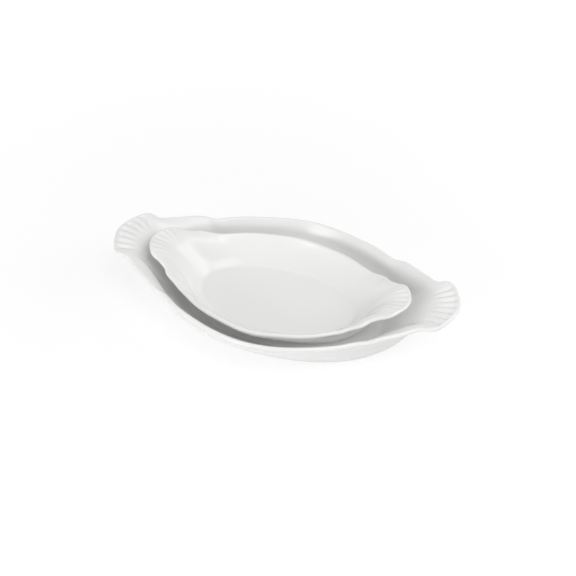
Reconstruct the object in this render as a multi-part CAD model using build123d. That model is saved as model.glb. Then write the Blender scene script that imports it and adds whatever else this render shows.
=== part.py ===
from build123d import *
from math import cos, pi, radians, sin
from typing import NamedTuple
import os

# A nest of two oval eared gratin dishes in white porcelain, in millimetres.
# X runs along the dishes, from ear to ear, Y across them and Z up.
# The origin is the middle of the large dish's foot, on the table.

# Large dish
large_length = 366.0
large_width = 204.0
large_side_height = 39.0
large_ear_rise = 16.8
large_foot_length = 253.6
large_foot_width = 147.6
large_foot_height = 2.4
large_foot_band = 5.0
large_heel_step = 1.2
large_floor_length = 208.0
large_floor_width = 118.0
large_floor_thickness = 6.2
large_cove = 5.6
large_rim_thickness = 4.6
large_flute_pitch = 8.9
large_flute_length = 27.0
large_flute_depth = 1.1
large_bead_width = 2.6

# Small dish
small_length = 280.0
small_width = 155.0
small_side_height = 28.9
small_ear_rise = 19.5
small_foot_length = 188.6
small_foot_width = 107.0
small_foot_height = 2.0
small_foot_band = 4.2
small_heel_step = 1.0
small_floor_length = 157.0
small_floor_width = 84.5
small_floor_thickness = 4.8
small_cove = 4.6
small_rim_thickness = 4.2
small_flute_pitch = 6.8
small_flute_length = 20.0
small_flute_depth = 0.7
small_bead_width = 2.2

# Where the small dish stands on the large dish's floor
nest_shift_x = -3.7
nest_shift_y = -3.5
nest_turn = -1.5

# Slopes of the wall above the level, in degrees
side_rim_slope = 60.0
ear_rim_slope = 15.0
side_heel_slope = 50.0
ear_heel_slope = 38.0
side_cove_slope = 36.0
ear_cove_slope = 34.0

# A quarter of the rim's outer edge, from the tip of an ear to the middle of a side,
# as shares of the half length, of the half width and of the ear's rise.
# A shallow notch parts the ear from a shoulder, and a second one the shoulder from the side.
ear_shares = (
    (1.0, 0.0, 1.0), (0.961, 0.234, 0.96), (0.908, 0.360, 0.90),
    (0.878, 0.378, 0.85), (0.832, 0.370, 0.71),
)
shoulder_shares = (
    (0.797, 0.412, 0.63), (0.741, 0.482, 0.51), (0.661, 0.582, 0.39),
    (0.604, 0.641, 0.24), (0.557, 0.653, 0.17),
)
side_shares = (
    (0.509, 0.712, 0.14), (0.435, 0.796, 0.09), (0.215, 0.946, 0.02), (0.0, 1.0, 0.0),
)
rim_shares = ear_shares + shoulder_shares + side_shares

# The same quarter without its notches, which fade out down the wall
broad_shares = (
    (1.0, 0.0, 1.0), (0.961, 0.234, 0.96), (0.868, 0.378, 0.80), (0.742, 0.490, 0.52),
    (0.585, 0.660, 0.22), (0.430, 0.801, 0.09), (0.215, 0.946, 0.02), (0.0, 1.0, 0.0),
)
notch_fade_share = 0.55

# How many lines of the wall's profile each stretch of that quarter has
flutes_each_side = 3
fluted_steps = 7
neck_steps = 5
shoulder_steps = 6
side_steps = 5

# How far up the wall the level lines of its outer and inner face lie
outer_shares = (0.0, 0.35, 0.7)
inner_shares = (0.92, 0.78, 0.55, 0.25, 0.0)
rim_steps = 3

# How stiffly the profile leaves the foot and the rim, and how it turns to the middle
lower_handle_share = 0.36
upper_handle_share = 0.4
homeward_share = 0.6


class Dish(NamedTuple):
    """The sizes of one dish."""
    length: float
    width: float
    side_height: float
    ear_rise: float
    foot_length: float
    foot_width: float
    foot_height: float
    foot_band: float
    heel_step: float
    floor_length: float
    floor_width: float
    floor_thickness: float
    cove: float
    rim_thickness: float
    flute_pitch: float
    flute_length: float
    flute_depth: float
    bead_width: float


class Station(NamedTuple):
    """One place on a quarter of the rim, and how the wall runs there."""
    share: float
    along: float
    center: Vector
    inward: Vector
    broad_center: Vector
    broad_inward: Vector
    rim_slope: float
    heel_slope: float
    cove_slope: float


def smooth(value):
    """An even ramp from 0 to 1 without corners."""
    value = min(max(value, 0.0), 1.0)
    return value * value * (3 - 2 * value)


def slanted(level, slope):
    """A level direction, tilted up by a slope."""
    return level * cos(radians(slope)) + Vector(0, 0, sin(radians(slope)))


def left_of(direction):
    """The level direction to the left of another one."""
    return Vector(-direction.Y, direction.X, 0).normalized()


def flow(points, places):
    """A smooth line from one plane of symmetry to the next, which it crosses squarely."""
    start = (points[1] - points[0]) * (1 / (places[1] - places[0]))
    end = (points[-1] - points[-2]) * (1 / (places[-1] - places[-2]))
    if abs(points[0].X) > abs(points[0].Y):
        tangents = [Vector(0, start.Y, 0), Vector(end.X, 0, 0)]
    else:
        tangents = [Vector(start.X, 0, 0), Vector(0, end.Y, 0)]
    return Edge.make_spline(points, tangents=tangents, parameters=places, scale=False)


def around(points, places):
    """A closed line from its points on one quarter, from an ear's tip to the side."""
    back = [1 - place for place in places[::-1]]
    second = [Vector(-p.X, p.Y, p.Z) for p in points[::-1]]
    third = [Vector(-p.X, -p.Y, p.Z) for p in points]
    fourth = [Vector(p.X, -p.Y, p.Z) for p in points[::-1]]
    return Wire([flow(points, places), flow(second, back), flow(third, places), flow(fourth, back)])


def rim_line(dish, shares):
    """A quarter of the rim's outer edge, as a smooth line through its shares."""
    level = dish.side_height - dish.rim_thickness / 2
    points = [
        Vector(x * dish.length / 2, y * dish.width / 2, level + z * dish.ear_rise)
        for x, y, z in shares
    ]
    chords = [0.0]
    for first, second in zip(points, points[1:]):
        chords.append(chords[-1] + (second - first).length)
    rim = flow(points, [chord / chords[-1] for chord in chords])
    return rim, points


def stations(dish):
    """The places along a quarter of the rim where the wall's profile is drawn."""
    rim, points = rim_line(dish, rim_shares)
    broad, broad_points = rim_line(dish, broad_shares)
    neck = rim.param_at_point(points[len(ear_shares) - 1])
    notch = rim.param_at_point(points[len(ear_shares + shoulder_shares) - 1])
    fluted = (flutes_each_side + 0.5) * dish.flute_pitch / rim.length
    stretches = (
        (0, fluted, fluted_steps), (fluted, neck, neck_steps),
        (neck, notch, shoulder_steps), (notch, 1, side_steps),
    )
    places = [0.0]
    for start, end, steps in stretches:
        places += [start + (end - start) * step / steps for step in range(1, steps + 1)]
    found = []
    for place in places:
        inward = left_of(rim.tangent_at(place))
        broad_inward = left_of(broad.tangent_at(place))
        ear = smooth((notch + fluted - place) / (notch + fluted - neck))
        found.append(Station(
            share=place,
            along=place * rim.length,
            center=rim.position_at(place) + inward * (dish.rim_thickness / 2),
            inward=inward,
            broad_center=broad.position_at(place) + broad_inward * (dish.rim_thickness / 2),
            broad_inward=broad_inward,
            rim_slope=side_rim_slope + (ear_rim_slope - side_rim_slope) * ear,
            heel_slope=side_heel_slope + (ear_heel_slope - side_heel_slope) * ear,
            cove_slope=side_cove_slope + (ear_cove_slope - side_cove_slope) * ear,
        ))
    return found


def oval_points(length, width, height, places):
    """Points on a quarter of an oval, each with the level direction out of the oval."""
    plane = Plane.XY.offset(height)
    oval = Edge.make_ellipse(length / 2, width / 2, plane, start_angle=0, end_angle=90)
    return [(oval.position_at(place), left_of(oval.tangent_at(place)) * -1) for place in places]


def rim_point(dish, station, turn):
    """A point on the rim's round edge, by its turn up from the outermost line."""
    out = slanted(station.inward * -1, turn)
    return station.center + out * (dish.rim_thickness / 2)


def wall_point(dish, station, low, foot_slope, turn, outward, share):
    """A point on the wall's profile, a curve from an oval below up to the rim."""
    fine = rim_point(dish, station, turn)
    broad = station.broad_center + slanted(station.broad_inward * -1, turn) * (dish.rim_thickness / 2)
    top = broad + (fine - broad) * smooth((share - notch_fade_share) / (1 - notch_fade_share))
    home = Vector(low.X - top.X, low.Y - top.Y, 0).normalized()
    level = (home * homeward_share + station.broad_inward * (1 - homeward_share)).normalized()
    reach = (top - low).length
    rise = slanted(outward, foot_slope) * (reach * lower_handle_share)
    fall = slanted(level, -station.rim_slope) * (reach * upper_handle_share)
    rest = 1 - share
    return (
        low * rest ** 3 + (low + rise) * (3 * share * rest ** 2)
        + (top + fall) * (3 * share ** 2 * rest) + top * share ** 3
    )


def groove(dish, station, reach):
    """How deep the ear's fan of flutes lies at a distance in from the rim."""
    if station.along > (flutes_each_side + 0.5) * dish.flute_pitch:
        return 0.0
    wave = (1 + cos(2 * pi * station.along / dish.flute_pitch)) / 2
    start = smooth((reach - dish.bead_width / 2) / dish.bead_width)
    end = smooth((dish.flute_length - reach) / (dish.flute_length / 2))
    return dish.flute_depth * wave * start * end


def bowl(dish):
    """The dish above its foot, lofted from the heel, over the rim and down to the floor."""
    spots = stations(dish)
    places = [spot.share for spot in spots]
    heel_length = dish.foot_length + 2 * dish.heel_step
    heel_width = dish.foot_width + 2 * dish.heel_step
    heel = oval_points(heel_length, heel_width, dish.foot_height, places)
    floor = oval_points(dish.floor_length, dish.floor_width, dish.floor_thickness, places)
    lines = []
    for share in outer_shares:
        lines.append([
            wall_point(dish, spot, low, spot.heel_slope, spot.rim_slope - 90, out, share)
            for spot, (low, out) in zip(spots, heel)
        ])
    for step in range(rim_steps + 1):
        turn = 180 * step / rim_steps - 90
        lines.append([rim_point(dish, spot, spot.rim_slope + turn) for spot in spots])
    bends = [low + out * dish.cove for low, out in floor]
    cove_tops = [
        bend + slanted(out, spot.cove_slope) * dish.cove
        for spot, bend, (low, out) in zip(spots, bends, floor)
    ]
    for share in inner_shares:
        line = []
        for spot, low, (floor_point, out) in zip(spots, cove_tops, floor):
            point = wall_point(dish, spot, low, spot.cove_slope, spot.rim_slope + 90, out, share)
            reach = (rim_point(dish, spot, spot.rim_slope + 90) - point).length
            line.append(point - Vector(0, 0, groove(dish, spot, reach)))
        lines.append(line)
    lines.append([
        (low + bend * 2 + high) * (1 / 4) for (low, out), bend, high in zip(floor, bends, cove_tops)
    ])
    lines.append([low for low, out in floor])
    return Solid.make_loft([around(line, places) for line in lines], ruled=True)


def foot(dish):
    """The unglazed ring that the dish stands on."""
    ring = Ellipse(dish.foot_length / 2, dish.foot_width / 2)
    ring -= Ellipse(dish.foot_length / 2 - dish.foot_band, dish.foot_width / 2 - dish.foot_band)
    return extrude(ring, dish.foot_height)


def make_dish(dish):
    """One dish in one piece, standing on the level at the origin."""
    return bowl(dish) + foot(dish)


large = Dish(
    large_length, large_width, large_side_height, large_ear_rise,
    large_foot_length, large_foot_width, large_foot_height, large_foot_band, large_heel_step,
    large_floor_length, large_floor_width, large_floor_thickness, large_cove,
    large_rim_thickness, large_flute_pitch, large_flute_length, large_flute_depth,
    large_bead_width,
)
small = Dish(
    small_length, small_width, small_side_height, small_ear_rise,
    small_foot_length, small_foot_width, small_foot_height, small_foot_band, small_heel_step,
    small_floor_length, small_floor_width, small_floor_thickness, small_cove,
    small_rim_thickness, small_flute_pitch, small_flute_length, small_flute_depth,
    small_bead_width,
)

nest_place = Pos(nest_shift_x, nest_shift_y, large_floor_thickness) * Rot(0, 0, nest_turn)
nodes = {
    "large_dish": make_dish(large),
    "small_dish": nest_place * make_dish(small),
}

os.makedirs("parts", exist_ok=True)
for name, shape in nodes.items():
    shape.label = name
    export_step(shape, f"parts/{name}.step")
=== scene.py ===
from math import cos, pi, radians, sin

import bmesh
import bpy
import numpy as np
from mathutils import Matrix, Vector


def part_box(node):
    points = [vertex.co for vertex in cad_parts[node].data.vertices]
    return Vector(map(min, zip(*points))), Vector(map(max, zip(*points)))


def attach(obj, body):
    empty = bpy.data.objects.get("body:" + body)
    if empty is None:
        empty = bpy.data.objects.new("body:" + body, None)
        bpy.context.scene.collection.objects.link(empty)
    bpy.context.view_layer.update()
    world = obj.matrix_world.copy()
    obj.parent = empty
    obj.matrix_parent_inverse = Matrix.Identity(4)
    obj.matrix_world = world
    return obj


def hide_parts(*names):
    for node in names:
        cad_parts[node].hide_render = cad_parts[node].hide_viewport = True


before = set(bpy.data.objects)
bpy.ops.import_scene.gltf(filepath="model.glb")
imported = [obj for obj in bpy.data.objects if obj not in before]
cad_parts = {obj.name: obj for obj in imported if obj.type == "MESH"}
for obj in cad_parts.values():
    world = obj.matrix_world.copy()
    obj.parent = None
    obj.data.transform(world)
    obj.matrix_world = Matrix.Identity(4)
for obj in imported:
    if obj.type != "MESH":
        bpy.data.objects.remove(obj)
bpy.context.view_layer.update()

# Camera
# It looks down on the two dishes from the front, a little from the right, from about one metre away
# and at the photograph's angle. It aims a little to the right of the large rim's middle and below it.
camera_azimuth = radians(20.35)
camera_elevation = radians(40.8)
camera_roll = radians(0.2)
camera_distance = 0.978
side_rim_height = 0.0367
aim_right = 0.00703
aim_down = 0.00851
toward_camera = Vector((
    sin(camera_azimuth) * cos(camera_elevation),
    -cos(camera_azimuth) * cos(camera_elevation),
    sin(camera_elevation),
))
camera_right = Vector((cos(camera_azimuth), sin(camera_azimuth), 0))
camera_up = toward_camera.cross(camera_right)
rim_middle = Vector((0, 0, side_rim_height))
eye = rim_middle + toward_camera * camera_distance
aim = rim_middle + camera_right * aim_right - camera_up * aim_down
bpy.ops.object.camera_add(location=eye)
camera = bpy.context.object
camera.name = "camera"
camera.data.lens = 60
camera.data.sensor_width = 36
facing = (aim - eye).to_track_quat("-Z", "Y").to_matrix().to_4x4()
turned = facing @ Matrix.Rotation(camera_roll, 4, "Z")
camera.matrix_world = Matrix.Translation(eye) @ turned
bpy.context.scene.camera = camera

# Large dish
# An oval gratin dish of white hard-paste porcelain, pressed in one piece between a plaster mould and
# a former: the bowl, its rolled rim and two flaring ears, whose upper faces carry a fan of flutes.
# It is glazed all over, and only the edge of the ring that it stands on is wiped bare for the kiln.
mm = 0.001
large_low, large_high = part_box("large_dish")
large_sizes = {
    "length": large_high.x - large_low.x,
    "width": large_high.y - large_low.y,
    "side_height": 39.0 * mm,
    "ear_rise": large_high.z - 39.0 * mm,
    "foot_length": 253.6 * mm,
    "foot_width": 147.6 * mm,
    "foot_height": 2.4 * mm,
    "foot_band": 5.0 * mm,
    "heel_step": 1.2 * mm,
    "floor_length": 208.0 * mm,
    "floor_width": 118.0 * mm,
    "floor_thickness": 6.2 * mm,
    "cove": 5.6 * mm,
    "rim_thickness": 4.6 * mm,
    "fluted_edge": 31.15 * mm,
    "flute_length": 27.0 * mm,
    "flute_depth": 2.4 * mm,
    "hollow": 1.8 * mm,
    "bead_width": 2.6 * mm,
}

# A quarter of the large rim's edge, from an ear's tip to the middle of a side, as shares of the
# half length, the half width and the ear's rise. Five points make the ear, five the shoulder.
large_sizes["rim"] = (
    (1.0, 0.0, 1.0), (0.962, 0.236, 0.95), (0.908, 0.360, 0.905), (0.880, 0.369, 0.87),
    (0.839, 0.361, 0.71), (0.801, 0.407, 0.615), (0.743, 0.481, 0.515), (0.657, 0.585, 0.42),
    (0.597, 0.642, 0.25), (0.549, 0.663, 0.135), (0.501, 0.724, 0.10), (0.428, 0.797, 0.08),
    (0.208, 0.943, 0.0), (0.0, 1.0, 0.0),
)
# The same quarter without its notches, as the wall runs further down
large_sizes["wall"] = (
    (1.0, 0.0, 1.0), (0.962, 0.236, 0.95), (0.868, 0.376, 0.80), (0.743, 0.487, 0.53),
    (0.580, 0.664, 0.22), (0.428, 0.800, 0.08), (0.208, 0.943, 0.0), (0.0, 1.0, 0.0),
)
# The notches begin at this share of the wall's height. The rim's points with these numbers are the
# ear's neck and the notch where the shoulder meets the side.
notch_start_share = 0.5
neck_number, notch_number = 4, 9

# Slopes of the wall above the level at its rim, its heel and the cove above its floor: on the sides,
# on the ears, and at the ears' tips, whose fluted tops are nearly flat
side_slopes = {"rim": radians(60), "heel": radians(50), "cove": radians(36)}
ear_slopes = {"rim": radians(15), "heel": radians(38), "cove": radians(34)}
tip_slopes = {"rim": radians(7), "heel": radians(42), "cove": radians(42)}
# Along the rim, an ear's slopes fade out until so many fluted edges past the shoulder's notch, and
# its tip's slopes from so much of the fluted edge to so much of the way to the neck
ear_fade, tip_start_share, tip_end_share = 1.1, 0.35, 1.15

# The flutes fan out from a point on the dish's long axis, at this share of its half length, with the
# middle one along that axis. A groove is narrow between round ribs. It deepens over a part of the
# smooth bead along the rim and fades out over the last part of its length.
flutes_each_side, flute_turn, fan_share = 3, radians(9.8), 0.66
groove_power = 0.9
bead_start_share, bead_rise_share, flute_fade_share = 0.2, 0.9, 0.75

# Where along the rim the profile is drawn: close together across the flutes, wider apart elsewhere
flute_steps, neck_steps, shoulder_steps, side_steps = 35, 8, 14, 14
# Where the rings lie, as shares of the wall's height: up the outside, over the rim, down the inside
outer_shares = (0.0, 0.05, 0.12, 0.21, 0.31, 0.42, 0.53, 0.64, 0.74, 0.83, 0.9, 0.955, 1.0)
inner_shares = (
    0.986, 0.97, 0.952, 0.93, 0.903, 0.873, 0.842, 0.808, 0.772, 0.732, 0.68, 0.62, 0.54, 0.44, 0.33,
    0.22, 0.11, 0.0,
)
rim_turns = [radians(turn) for turn in (-67.5, -45, -22.5, 0, 22.5, 45, 67.5, 90)]

# The wall's profile is a curve that leaves the oval below and the rim along two handles, which are
# shares of its height and turn partly towards its other end. An ear's tip has a longer upper one.
lower_handle_share, upper_handle_share, tip_handle_share = 0.36, 0.4, 0.08
lower_turn_share, upper_turn_share = 0.5, 0.45
# The profiles' lower ends are pulled back towards the ears, so that they stand squarer to the rim.
# The cove above the floor is rounded over the rest of its two sides.
low_pull = 0.42
corner_share = 0.45

# Under its lip the inside is a little hollow. The hollow begins within the lip, is full further down
# and is gone again at the cove.
lip_width = 11.0 * mm
hollow_start_share, hollow_rise_share, hollow_end_share = 0.35, 1.3, 0.45


def smooth(value):
    """An even ramp from 0 to 1 without corners."""
    value = np.clip(value, 0, 1)
    return value * value * (3 - 2 * value)


def tilted(level, slope):
    """Level directions, tilted up by their slopes."""
    return level * np.cos(slope)[:, None] + np.array((0, 0, 1)) * np.sin(slope)[:, None]


def along_slope(level, straight, slope):
    """Level directions, tilted as they run aslant over a wall that slopes straight up or down."""
    way = level + np.array((0, 0, 1)) * (np.tan(slope) * (level * straight).sum(axis=1))[:, None]
    return way / np.linalg.norm(way, axis=1)[:, None]


def spread(line, places):
    """Points at shares of a fine line's length, and the level way out of the dish at each."""
    lengths = np.linalg.norm(np.diff(line, axis=0), axis=1)
    shares = np.concatenate(([0], np.cumsum(lengths))) / lengths.sum()
    points = np.stack([np.interp(places, shares, line[:, axis]) for axis in range(3)], axis=1)
    run = np.gradient(line, axis=0)
    out = np.stack([
        np.interp(places, shares, run[:, 1]), np.interp(places, shares, -run[:, 0]),
        np.zeros(len(places)),
    ], axis=1)
    out /= np.linalg.norm(out, axis=1)[:, None]
    out[0], out[-1] = (1, 0, 0), (0, 1, 0)
    return points, out


def rim_line(dish, shares):
    """A fine smooth line through the rim's shares, and how far along it each share lies."""
    level = dish["side_height"] - dish["rim_thickness"] / 2
    points = np.array(shares) * (dish["length"] / 2, dish["width"] / 2, dish["ear_rise"])
    points[:, 2] += level
    gaps = np.linalg.norm(np.diff(points, axis=0), axis=1)
    secants = np.diff(points, axis=0) / gaps[:, None]
    # the slopes at the points for which the line's curvature never jumps
    count = len(points)
    weights, pulls = np.eye(count), np.zeros((count, 3))
    pulls[0], pulls[-1] = secants[0] * (0, 1, 0), secants[-1] * (1, 0, 0)
    for number in range(1, count - 1):
        before, after = 1 / gaps[number - 1], 1 / gaps[number]
        weights[number, number - 1:number + 2] = before, 2 * (before + after), after
        pulls[number] = 3 * (secants[number - 1] * before + secants[number] * after)
    slopes = np.linalg.solve(weights, pulls)
    share = np.linspace(0, 1, 200, endpoint=False)[:, None]
    fine = []
    for number, gap in enumerate(gaps):
        fine.append(
            points[number] * (1 + 2 * share) * (1 - share) ** 2
            + slopes[number] * gap * share * (1 - share) ** 2
            + points[number + 1] * share ** 2 * (3 - 2 * share)
            - slopes[number + 1] * gap * share ** 2 * (1 - share)
        )
    fine = np.concatenate(fine + [points[-1:]])
    run = np.concatenate(([0], np.cumsum(np.linalg.norm(np.diff(fine, axis=0), axis=1))))
    return fine, run[::200]


def oval(length, width, height, places):
    """Points on a quarter of an oval, and the level way out of it at each."""
    angle = np.linspace(0, pi / 2, 1500)
    line = np.stack((
        length / 2 * np.cos(angle), width / 2 * np.sin(angle), 0 * angle + height,
    ), axis=1)
    return spread(line, places)


def profile_places(dish):
    """The shares of a quarter rim at which the profile is drawn."""
    fine, run = rim_line(dish, dish["rim"])
    fluted = dish["fluted_edge"]
    along = []
    for start, end, steps in (
        (0.0, fluted, flute_steps),
        (fluted, run[neck_number], neck_steps),
        (run[neck_number], run[notch_number], shoulder_steps),
        (run[notch_number], run[-1], side_steps),
    ):
        along += [start + (end - start) * step / steps for step in range(steps)]
    return np.array(along + [run[-1]]), run


def dish_rings(dish):
    """The dish's quarter as rings of points, from under its floor, round its rim, to its floor.

    With each ring goes how deep in the flutes its points lie, from 0 to 1."""
    along, run = profile_places(dish)
    places = along / run[-1]
    low_places = places - low_pull * places * (1 - places)
    radius = dish["rim_thickness"] / 2
    edge, out = spread(rim_line(dish, dish["rim"])[0], places)
    broad_edge, broad_out = spread(rim_line(dish, dish["wall"])[0], places)
    center, broad_center = edge - out * radius, broad_edge - broad_out * radius
    fluted = dish["fluted_edge"]
    ear_end, tip_end = run[notch_number] + fluted * ear_fade, run[neck_number] * tip_end_share
    ear = smooth((ear_end - along) / (ear_end - run[neck_number]))
    tip = smooth((tip_end - along) / (tip_end - fluted * tip_start_share))
    slope = {
        part: side_slopes[part] + (ear_slopes[part] - side_slopes[part]) * ear
        + (tip_slopes[part] - ear_slopes[part]) * tip
        for part in side_slopes
    }

    def wall(low, way, foot_slope, turn, share):
        """Points on the wall's profile, a curve from an oval below up to the rim."""
        fine = center + tilted(out, slope["rim"] + turn) * radius
        broad = broad_center + tilted(broad_out, slope["rim"] + turn) * radius
        top = broad + (fine - broad) * smooth((share - notch_start_share) / (1 - notch_start_share))
        home = (low - top) * (1, 1, 0)
        home /= np.linalg.norm(home, axis=1)[:, None]
        level = home * upper_turn_share - broad_out * (1 - upper_turn_share)
        level /= np.linalg.norm(level, axis=1)[:, None]
        reach = np.linalg.norm(top - low, axis=1)[:, None]
        level_up = way - home * lower_turn_share
        level_up /= np.linalg.norm(level_up, axis=1)[:, None]
        rise = along_slope(level_up, way, foot_slope) * reach * lower_handle_share
        upper_handle = reach * (upper_handle_share + tip_handle_share * tip)[:, None]
        fall = along_slope(level, -broad_out, -slope["rim"]) * upper_handle
        rest = 1 - share
        return (
            low * rest ** 3 + (low + rise) * 3 * share * rest ** 2
            + (top + fall) * 3 * share ** 2 * rest + top * share ** 3
        )

    # under the floor and round the ring that the dish stands on, whose section is given by how far
    # inside its outer edge a point lies, and how high
    plain = np.zeros(len(places))
    foot, band = dish["foot_height"], dish["foot_band"]
    inner_length, inner_width = dish["foot_length"] - 2 * band, dish["foot_width"] - 2 * band
    rings = []
    for share in (0.3, 0.6, 0.85):
        rings.append(oval(inner_length * share, inner_width * share, foot, low_places)[0])
    for inset, height in (
        (band + 2.2 * mm, foot), (band + 0.9 * mm, foot - 0.1 * mm), (band + 0.2 * mm, foot * 0.72),
        (band, foot * 0.4), (band - 0.3 * mm, 0.25 * mm), (band - 0.9 * mm, 0.0), (band / 2, 0.0),
        (0.9 * mm, 0.0), (0.3 * mm, 0.25 * mm), (0.0, foot * 0.4), (-0.15 * mm, foot * 0.72),
        (-0.55 * mm, foot - 0.1 * mm),
    ):
        rings.append(oval(
            dish["foot_length"] - 2 * inset, dish["foot_width"] - 2 * inset, height, low_places,
        )[0])

    # up the outside and over the rim
    step = dish["heel_step"]
    heel, heel_out = oval(
        dish["foot_length"] + 2 * step, dish["foot_width"] + 2 * step, foot, low_places,
    )
    for share in outer_shares:
        rings.append(wall(heel, heel_out, slope["heel"], -pi / 2, share))
    for turn in rim_turns:
        rings.append(center + tilted(out, slope["rim"] + turn) * radius)
    pools_and_shades = [plain] * len(rings)

    # down the inside, where the ears are fluted, round the cove and across the floor
    floor, floor_out = oval(
        dish["floor_length"], dish["floor_width"], dish["floor_thickness"], low_places,
    )
    bend = floor + floor_out * dish["cove"]
    cove_top = bend + tilted(floor_out, slope["cove"]) * dish["cove"]
    rim_end = center + tilted(out, slope["rim"] + pi / 2) * radius
    for share in inner_shares:
        ring = wall(cove_top, floor_out, slope["cove"], pi / 2, share)
        reach = np.linalg.norm(rim_end - ring, axis=1)
        # the lip is as wide as the flutes are long on the ears, and narrower on the sides
        lip = lip_width + (dish["flute_length"] - lip_width) * ear ** 1.5
        below_lip = smooth((reach - lip * hollow_start_share) / (lip * hollow_rise_share))
        hollow = below_lip * smooth(share / hollow_end_share) * dish["hollow"]
        ring = ring + broad_out * hollow[:, None]
        turn = np.arctan2(ring[:, 1], ring[:, 0] - dish["length"] / 2 * fan_share)
        groove = 1 - np.abs(np.sin(pi * turn / flute_turn)) ** groove_power
        groove[turn > (flutes_each_side + 0.5) * flute_turn] = 0
        bead, flute = dish["bead_width"], dish["flute_length"]
        start = smooth((reach - bead * bead_start_share) / (bead * bead_rise_share))
        end = smooth((flute - reach) / (flute * flute_fade_share))
        depth = groove * start * end
        rings.append(ring - np.array((0, 0, 1)) * (depth * dish["flute_depth"])[:, None])
        # how deep each point lies in its groove, which greys the glaze there, partly as glaze pooling
        # and partly as painted shade
        pools_and_shades.append(depth)
    upper, lower = bend + (cove_top - bend) * corner_share, bend + (floor - bend) * corner_share
    for share in (0.0, 0.25, 0.5, 0.75, 1.0):
        rest = 1 - share
        rings.append(upper * rest ** 2 + bend * 2 * share * rest + lower * share ** 2)
        pools_and_shades.append(plain)
    for share in (1.0, 0.96, 0.85, 0.65, 0.35):
        rings.append(floor * (share, share, 1))
        pools_and_shades.append(plain)
    return rings, pools_and_shades


def whole(quarter, flips):
    """All round the dish from one quarter, turned over at each plane of symmetry."""
    return np.concatenate((
        quarter, quarter[-2::-1] * flips[0], quarter[1:] * flips[1], quarter[-2:0:-1] * flips[2],
    ))


def model_dish(name, dish):
    """Draws the dish up from a circle under its floor, ring by ring, and closes its floor."""
    quarter_rings, quarter_pools_and_shades = dish_rings(dish)
    rings = [whole(ring, ((-1, 1, 1), (-1, -1, 1), (1, -1, 1))) for ring in quarter_rings]
    pools_and_shades = [whole(pool, (1, 1, 1)) for pool in quarter_pools_and_shades]
    around = len(rings[0])
    bpy.ops.object.select_all(action="DESELECT")
    bpy.ops.mesh.primitive_circle_add(vertices=around, radius=dish["foot_width"] / 8)
    piece = bpy.context.object
    piece.name = name
    bpy.ops.object.mode_set(mode="EDIT")
    bpy.ops.mesh.select_mode(type="EDGE")
    bpy.ops.mesh.select_all(action="SELECT")
    mesh = bmesh.from_edit_mesh(piece.data)
    station = mesh.verts.layers.int.new("station")
    # each point's groove depth, which greys the glaze, partly as glaze pooling and partly as painted
    # shade
    mesh.verts.layers.float.new("glaze_pool")
    for vertex in mesh.verts:
        angle = np.arctan2(vertex.co.y, vertex.co.x) / (2 * pi)
        vertex[station] = round(angle * around) % around
    bmesh.update_edit_mesh(piece.data)
    for number, (ring, pool) in enumerate(zip(rings, pools_and_shades)):
        if number:
            bpy.ops.mesh.extrude_edges_move()
        mesh = bmesh.from_edit_mesh(piece.data)
        station = mesh.verts.layers.int["station"]
        depth = mesh.verts.layers.float["glaze_pool"]
        for vertex in mesh.verts:
            if vertex.select:
                vertex.co = ring[vertex[station]]
                vertex[depth] = pool[vertex[station]]
        bmesh.update_edit_mesh(piece.data)
    bpy.ops.object.mode_set(mode="OBJECT")
    piece.modifiers.new("soft", "SUBSURF")
    piece.modifiers["soft"].levels = 1
    piece.modifiers["soft"].render_levels = 1
    bpy.ops.object.modifier_apply(modifier="soft")
    bpy.ops.object.mode_set(mode="EDIT")
    bpy.ops.mesh.select_all(action="SELECT")
    bpy.ops.mesh.fill_holes(sides=0)
    bpy.ops.mesh.select_all(action="SELECT")
    bpy.ops.mesh.normals_make_consistent(inside=False)
    bpy.ops.object.mode_set(mode="OBJECT")
    bpy.ops.object.shade_smooth()
    return piece


def linear(shade):
    """An sRGB hex colour as linear red, green, blue and alpha."""
    parts = [int(shade[start:start + 2], 16) / 255 for start in (1, 3, 5)]
    return [
        part / 12.92 if part <= 0.04045 else ((part + 0.055) / 1.055) ** 2.4 for part in parts
    ] + [1]


def add(material, kind, settings=(), **links):
    """A node with its settings, its inputs set to values or linked from other nodes' outputs.

    An input goes by its name, with _ for a space, or by its number, as in0."""
    tree = material.node_tree
    node = tree.nodes.new(kind)
    for setting, value in dict(settings).items():
        setattr(node, setting, value)
    for socket, value in links.items():
        key = int(socket[2:]) if socket.startswith("in") else socket.replace("_", " ")
        target = node.inputs[key]
        if isinstance(value, bpy.types.NodeSocket):
            tree.links.new(value, target)
        else:
            target.default_value = value
    return node


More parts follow.
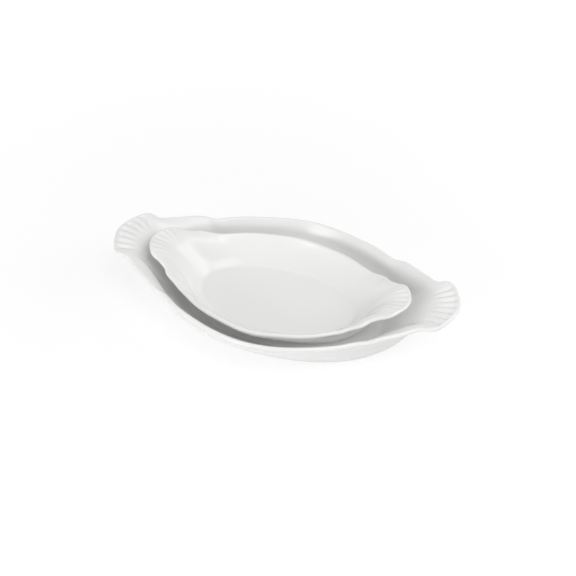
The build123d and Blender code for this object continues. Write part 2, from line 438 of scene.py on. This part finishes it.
def glazed_porcelain(name):
    """Clear feldspar glaze fired over white porcelain: an even, deep gloss.

    The eye gets sharp highlights that waver a little, because the glaze lies a few hundredths of
    a millimetre thicker here and there, and a grey in the grooves, partly where the glaze pools
    and partly painted shade."""
    glaze = bpy.data.materials.new(name)
    glaze.use_nodes = True
    glaze.node_tree.nodes.clear()
    place = add(glaze, "ShaderNodeTexCoord").outputs["Object"]
    # tone drifts over about 60 mm, the glaze's thickness over about 14 mm
    drift = add(glaze, "ShaderNodeTexNoise", in0=place, Scale=1 / (60 * mm), Detail=2.0)
    wave = add(glaze, "ShaderNodeTexNoise", in0=place, Scale=1 / (14 * mm), Detail=1.0)
    pooled_and_shaded = add(glaze, "ShaderNodeAttribute", {"attribute_name": "glaze_pool"}).outputs["Fac"]
    tone = add(
        glaze, "ShaderNodeMix", {"data_type": "RGBA"}, in0=drift.outputs["Fac"],
        in6=linear("#F0F0EE"), in7=linear("#ECECEA"),
    ).outputs[2]
    # painted shade: the grooves are greyed by their depth, partly for the glaze pooled in them and
    # partly for the shade that falls in them
    tone = add(
        glaze, "ShaderNodeMix", {"data_type": "RGBA"},
        in0=add(glaze, "ShaderNodeMath", {"operation": "MULTIPLY"}, in0=pooled_and_shaded, in1=0.45).outputs[0],
        in6=tone, in7=linear("#C9CCCC"),
    ).outputs[2]
    gloss = add(
        glaze, "ShaderNodeMapRange", in0=drift.outputs["Fac"], in3=0.10, in4=0.16,
    ).outputs[0]
    relief = add(
        glaze, "ShaderNodeBump", Strength=0.35, Distance=0.05 * mm, Height=wave.outputs["Fac"],
    )
    surface = add(
        glaze, "ShaderNodeBsdfPrincipled", Base_Color=tone, Roughness=gloss, IOR=1.5,
        Normal=relief.outputs[0],
    )
    add(glaze, "ShaderNodeOutputMaterial", Surface=surface.outputs[0])
    return glaze


def bare_porcelain(name):
    """Fired porcelain with no glaze, rubbed smooth on the ring that stands in the kiln.

    The eye gets a dull, faintly warm white with a fine sandy grain, drawn here at 0.4 mm."""
    bare = bpy.data.materials.new(name)
    bare.use_nodes = True
    bare.node_tree.nodes.clear()
    place = add(bare, "ShaderNodeTexCoord").outputs["Object"]
    grain = add(bare, "ShaderNodeTexNoise", in0=place, Scale=1 / (0.4 * mm), Detail=3.0)
    stain = add(bare, "ShaderNodeTexNoise", in0=place, Scale=1 / (25 * mm), Detail=3.0)
    tone = add(
        bare, "ShaderNodeMix", {"data_type": "RGBA"}, in0=stain.outputs["Fac"],
        in6=linear("#E9E5DB"), in7=linear("#DAD5C9"),
    ).outputs[2]
    relief = add(
        bare, "ShaderNodeBump", Strength=0.5, Distance=0.04 * mm, Height=grain.outputs["Fac"],
    )
    surface = add(
        bare, "ShaderNodeBsdfPrincipled", Base_Color=tone, Roughness=0.75, IOR=1.5,
        Normal=relief.outputs[0],
    )
    add(bare, "ShaderNodeOutputMaterial", Surface=surface.outputs[0])
    return bare


def finish_dish(piece):
    """Glaze all over, apart from the standing edge of the foot ring."""
    piece.data.materials.append(bpy.data.materials["glazed_porcelain"])
    piece.data.materials.append(bpy.data.materials["bare_porcelain"])
    for face in piece.data.polygons:
        if max(piece.data.vertices[corner].co.z for corner in face.vertices) < 0.2 * mm:
            face.material_index = 1


glazed_porcelain("glazed_porcelain")
bare_porcelain("bare_porcelain")
large_dish = model_dish("large_gratin_dish", large_sizes)
finish_dish(large_dish)
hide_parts("large_dish")
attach(large_dish, "large")

# Small dish
# The next smaller size of the same pattern, also one piece of glazed porcelain. It stands loose on
# the large dish's floor, a little off its middle and turned a little, as someone set it down.
small_sizes = {
    "length": 279.8 * mm,
    "width": 154.6 * mm,
    "side_height": 28.9 * mm,
    "ear_rise": 19.4 * mm,
    "foot_length": 188.6 * mm,
    "foot_width": 107.0 * mm,
    "foot_height": 2.0 * mm,
    "foot_band": 4.2 * mm,
    "heel_step": 1.0 * mm,
    "floor_length": 157.0 * mm,
    "floor_width": 84.5 * mm,
    "floor_thickness": 4.8 * mm,
    "cove": 4.6 * mm,
    "rim_thickness": 4.2 * mm,
    "fluted_edge": 23.8 * mm,
    "flute_length": 20.0 * mm,
    "flute_depth": 1.2 * mm,
    "hollow": 0.0 * mm,
    "bead_width": 2.2 * mm,
}
small_sizes["rim"] = (
    (1.0, 0.0, 1.0), (0.952, 0.242, 1.01), (0.898, 0.335, 0.90), (0.857, 0.355, 0.80),
    (0.823, 0.384, 0.72), (0.790, 0.415, 0.63), (0.758, 0.486, 0.53), (0.678, 0.566, 0.35),
    (0.622, 0.624, 0.19), (0.570, 0.675, 0.145), (0.513, 0.735, 0.11), (0.445, 0.804, 0.09),
    (0.213, 0.940, 0.04), (0.0, 1.0, 0.0),
)
small_sizes["wall"] = (
    (1.0, 0.0, 1.0), (0.952, 0.242, 1.01), (0.853, 0.375, 0.80), (0.745, 0.490, 0.50),
    (0.590, 0.660, 0.19), (0.440, 0.808, 0.09), (0.213, 0.940, 0.04), (0.0, 1.0, 0.0),
)
small_dish = model_dish("small_gratin_dish", small_sizes)
finish_dish(small_dish)
nest_place = Matrix.Translation((-3.7 * mm, -3.5 * mm, large_sizes["floor_thickness"]))
nest_turn = Matrix.Rotation(radians(-1.5), 4, "Z")
small_dish.data.transform(nest_place @ nest_turn)
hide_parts("small_dish")
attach(small_dish, "small")

# Table and backdrop
# A plain white sheet of paper under the dishes. It shows white to the camera and in the glaze, less
# so near the dishes, where it keeps a faint soft shadow of them.
bpy.ops.object.select_all(action="DESELECT")
bpy.ops.mesh.primitive_plane_add(size=8)
table = bpy.context.object
table.name = "table"
paper = bpy.data.materials.new("white_paper")
paper.use_nodes = True
paper.node_tree.nodes.clear()
seen = add(paper, "ShaderNodeLightPath")
seen_share = add(
    paper, "ShaderNodeMath", {"operation": "MAXIMUM"},
    in0=seen.outputs["Is Camera Ray"], in1=seen.outputs["Is Glossy Ray"],
).outputs[0]
place = add(paper, "ShaderNodeTexCoord").outputs["Object"]
distance = add(paper, "ShaderNodeVectorMath", {"operation": "LENGTH"}, in0=place).outputs["Value"]
# from 0.25 to 1.2 m from the middle the paper turns wholly white
white_share = add(
    paper, "ShaderNodeMapRange", in0=distance, in1=0.25, in2=1.2, in3=0.7, in4=1.0,
).outputs[0]
share = add(
    paper, "ShaderNodeMath", {"operation": "MULTIPLY"}, in0=seen_share, in1=white_share,
).outputs[0]
plain = add(paper, "ShaderNodeBsdfDiffuse", Color=linear("#F2F2F2")).outputs[0]
glow = add(paper, "ShaderNodeEmission", Color=linear("#FFFFFF"), Strength=1.10).outputs[0]
mixed = add(paper, "ShaderNodeMixShader", in0=share, in1=plain, in2=glow).outputs[0]
add(paper, "ShaderNodeOutputMaterial", Surface=mixed)
table.data.materials.append(paper)

# Studio light
# Soft boxes round the table, and the white room's own light.
lamps = (
    # name, azimuth and elevation in degrees, distance and width in metres, power in watts
    ("front_low", -25, 13, 1.6, 0.6, 6.8),
    ("front_left", -25, 30, 1.6, 0.9, 1.8),
    ("right_side", 110, 30, 1.6, 0.9, 5.4),
    ("right_high", 65, 60, 1.6, 0.9, 6.0),
    ("overhead", 0, 88, 1.6, 0.9, 1.8),
)
for name, azimuth, elevation, distance, width, power in lamps:
    toward = Vector((
        sin(radians(azimuth)) * cos(radians(elevation)),
        -cos(radians(azimuth)) * cos(radians(elevation)),
        sin(radians(elevation)),
    ))
    bpy.ops.object.light_add(type="AREA", location=toward * distance)
    lamp = bpy.context.object
    lamp.name = name
    lamp.rotation_euler = (-toward).to_track_quat("-Z", "Y").to_euler()
    lamp.data.energy = power
    lamp.data.size = width

room = bpy.data.worlds.new("white_room")
bpy.context.scene.world = room
room.use_nodes = True
room.node_tree.nodes.clear()
seen = add(room, "ShaderNodeLightPath")
seen_share = add(
    room, "ShaderNodeMath", {"operation": "MAXIMUM"},
    in0=seen.outputs["Is Camera Ray"], in1=seen.outputs["Is Glossy Ray"],
).outputs[0]
# the room is white to the eye and in the glaze, and lights the dishes with less than half of that
strength = add(room, "ShaderNodeMapRange", in0=seen_share, in3=0.42, in4=1.0).outputs[0]
light = add(room, "ShaderNodeBackground", Color=linear("#FFFFFF"), Strength=strength).outputs[0]
add(room, "ShaderNodeOutputWorld", Surface=light)
bpy.context.scene.view_settings.view_transform = "Standard"
